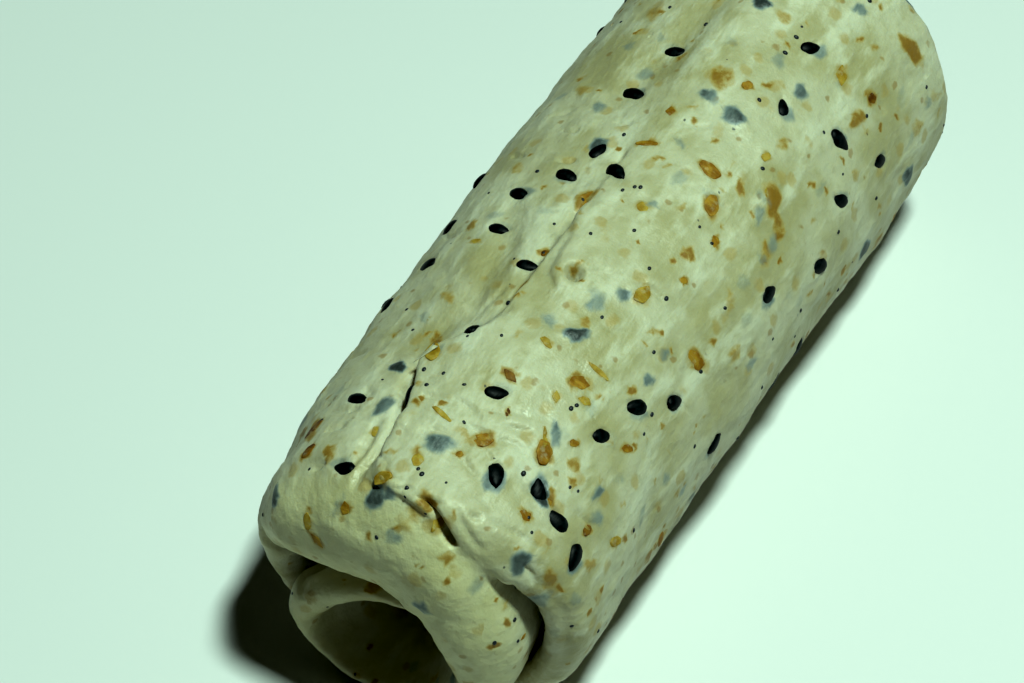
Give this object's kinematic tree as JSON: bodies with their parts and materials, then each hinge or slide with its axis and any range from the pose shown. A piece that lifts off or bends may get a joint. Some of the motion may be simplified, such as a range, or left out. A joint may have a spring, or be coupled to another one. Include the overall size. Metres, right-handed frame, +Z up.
{
  "type": "rolled seeded bagel dough",
  "caption": "Unbaked bagel dough rolled up into a short log, hollow at one end, with black sesame seeds and onion flakes set in its skin.",
  "frame": {"origin": "middle of the flattened underside that the roll lies on, under the middle of its outer size", "axes": "+Z up; +Y along the roll, from its open, hollow end towards its closed, rounded end; +X to the right seen from the open end"},
  "size_m": [0.0428, 0.101, 0.0395],
  "materials": {
    "dough": "matte",
    "black_seed": "satin",
    "onion": "satin"
  },
  "bodies": {
    "root": {"dough_roll": "dough", "black_sesame_01": "black_seed", "black_sesame_02": "black_seed", "black_sesame_03": "black_seed", "black_sesame_04": "black_seed", "black_sesame_05": "black_seed", "black_sesame_06": "black_seed", "black_sesame_07": "black_seed", "black_sesame_08": "black_seed", "black_sesame_09": "black_seed", "black_sesame_10": "black_seed", "black_sesame_11": "black_seed", "black_sesame_12": "black_seed", "black_sesame_13": "black_seed", "black_sesame_14": "black_seed", "black_sesame_15": "black_seed", "black_sesame_16": "black_seed", "black_sesame_17": "black_seed", "black_sesame_18": "black_seed", "black_sesame_19": "black_seed", "black_sesame_20": "black_seed", "black_sesame_21": "black_seed", "black_sesame_22": "black_seed", "black_sesame_23": "black_seed", "black_sesame_24": "black_seed", "black_sesame_25": "black_seed", "black_sesame_26": "black_seed", "black_sesame_27": "black_seed", "black_sesame_28": "black_seed", "black_sesame_29": "black_seed", "black_sesame_30": "black_seed", "black_sesame_31": "black_seed", "black_sesame_32": "black_seed", "black_sesame_33": "black_seed", "black_sesame_34": "black_seed", "black_sesame_35": "black_seed", "black_sesame_36": "black_seed", "onion_flake_01": "onion", "onion_flake_02": "onion", "onion_flake_03": "onion", "onion_flake_04": "onion", "onion_flake_05": "onion", "onion_flake_06": "onion", "onion_flake_07": "onion", "onion_flake_08": "onion", "onion_flake_09": "onion", "onion_flake_10": "onion", "onion_flake_11": "onion", "onion_flake_12": "onion", "onion_flake_13": "onion", "onion_flake_14": "onion"}
  },
  "joints": []
}
